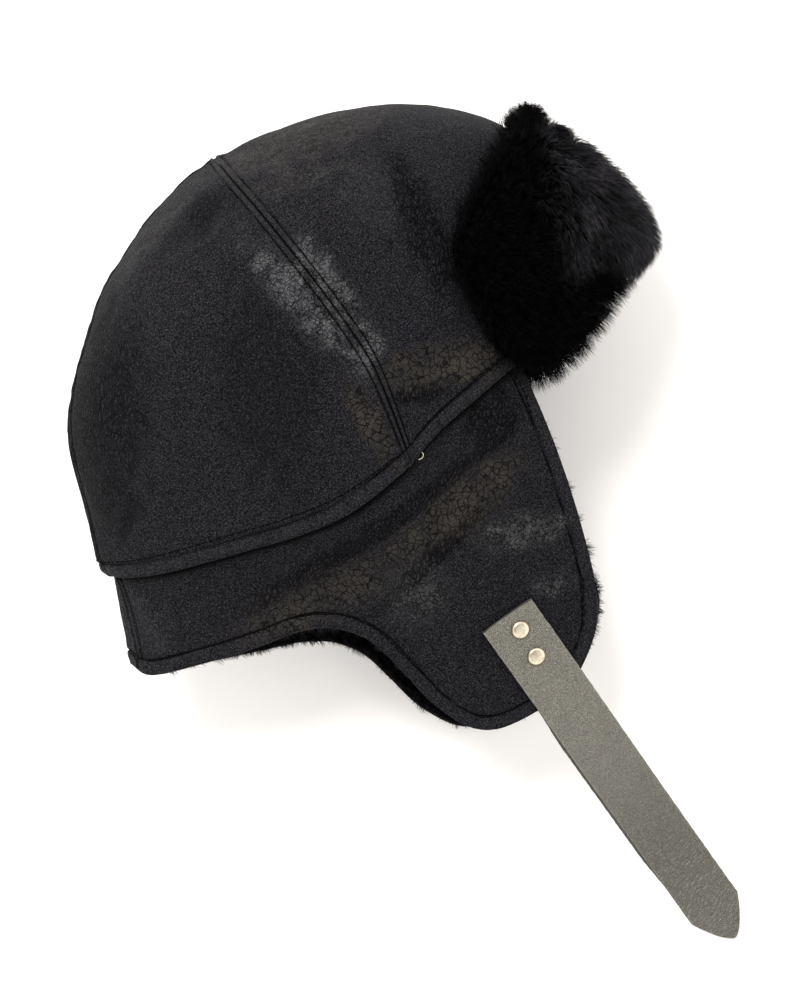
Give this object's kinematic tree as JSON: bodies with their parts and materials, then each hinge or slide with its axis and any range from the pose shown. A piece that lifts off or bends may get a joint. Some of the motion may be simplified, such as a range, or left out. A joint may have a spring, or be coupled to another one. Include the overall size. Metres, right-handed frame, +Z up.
{
  "type": "aviator hat",
  "caption": "Aviator hat with leather crown, ear flaps, turned-up fur front flap and a strap end, lying on its side.",
  "frame": {"origin": "on the floor, under the flattened side of the crown that the hat lies on", "axes": "+X to the hat's front, +Y to the crown's top, +Z up, away from the floor, towards the hat's right side"},
  "size_m": [0.3022, 0.4205, 0.1406],
  "materials": {
    "leather": "black crackled grain, half matt",
    "fur": "black short fur",
    "strap_leather": "grey-olive pebbled grain",
    "brass": "antique, soft shine"
  },
  "bodies": {
    "root": {"crown_front": "leather", "crown_back_right": "leather", "crown_back_left": "leather", "skirt_right": "leather", "skirt_left": "leather", "lining_right": "fur", "lining_left": "fur", "fur_visor": "fur", "chin_strap": "strap_leather", "rivet_upper": "brass", "rivet_lower": "brass"}
  },
  "joints": []
}
